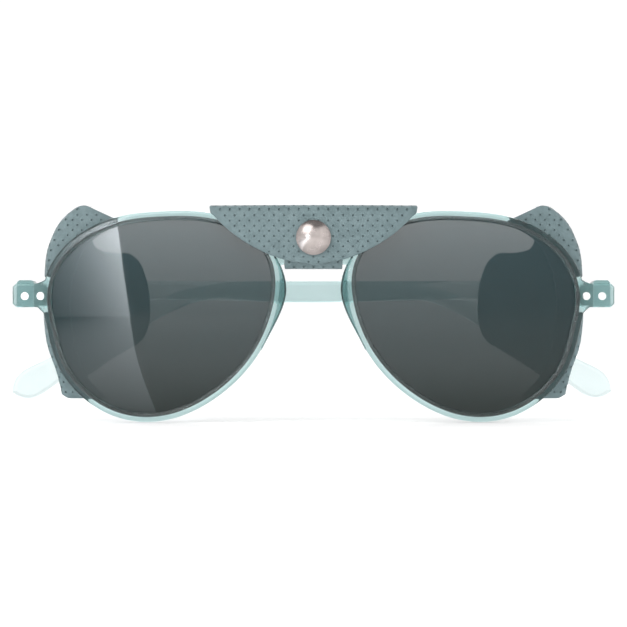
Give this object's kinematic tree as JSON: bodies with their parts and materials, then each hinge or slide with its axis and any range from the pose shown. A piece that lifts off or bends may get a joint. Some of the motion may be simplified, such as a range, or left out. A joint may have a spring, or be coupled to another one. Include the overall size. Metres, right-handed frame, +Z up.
{
  "type": "glacier glasses",
  "caption": "Folded mountain sunglasses with tinted aviator lenses, leather side shields that follow the temples, and a leather nose cover closed by a snap.",
  "frame": {"origin": "nose saddle: midway between the nose pads at their widest point, half way through their depth", "axes": "+X to the wearer's left, +Y from the front back towards the wearer, +Z up"},
  "size_m": [0.1488, 0.0302, 0.0529],
  "materials": {
    "front_plastic": "satin, slightly see-through grey-teal",
    "temple_plastic": "satin, see-through pale grey-teal",
    "smoke_lens": "dark smoke, slightly mirrored",
    "leather": "matte, perforated grey-teal",
    "rivet_metal": "satin",
    "hinge_steel": "satin",
    "snap_metal": "polished nickel"
  },
  "bodies": {
    "front": {"front_frame": "front_plastic", "lens_left": "smoke_lens", "front_rivets_left": "rivet_metal", "hinge_front_leaf_left": "hinge_steel", "hinge_screw_left": "hinge_steel", "shield_strip_left": "leather", "shield_turned_edge_left": "leather", "lens_right": "smoke_lens", "front_rivets_right": "rivet_metal", "hinge_front_leaf_right": "hinge_steel", "hinge_screw_right": "hinge_steel", "shield_strip_right": "leather", "shield_turned_edge_right": "leather", "nose_cover_back": "leather", "nose_cover_top": "leather", "nose_cover_tab": "leather", "snap_stud": "snap_metal", "snap_post": "snap_metal"},
    "left_temple": {"temple_left": "temple_plastic", "hinge_temple_leaf_left": "hinge_steel", "temple_rivets_left": "rivet_metal", "shield_flap_left": "leather"},
    "right_temple": {"temple_right": "temple_plastic", "hinge_temple_leaf_right": "hinge_steel", "temple_rivets_right": "rivet_metal", "shield_flap_right": "leather"},
    "nose_flap": {"nose_cover_flap": "leather", "snap_cap": "snap_metal", "snap_socket": "snap_metal"}
  },
  "joints": [
    {"name": "temple_left_hinge", "type": "hinge", "parent": "front", "child": "left_temple", "pos_m": [0.0673, 0.0115, -0.001], "axis": [0, 0, -1], "range_deg": [0, 91.4], "deforming": ["shield_flap_left"]},
    {"name": "temple_right_hinge", "type": "hinge", "parent": "front", "child": "right_temple", "pos_m": [-0.0673, 0.0115, -0.001], "axis": [0, 0, 1], "range_deg": [0, 88.5], "deforming": ["shield_flap_right"]},
    {"name": "nose_cover_fold", "type": "hinge", "parent": "front", "child": "nose_flap", "pos_m": [0, -0.00835, 0.02], "axis": [-1, 0, 0], "range_deg": [0, 120]}
  ]
}
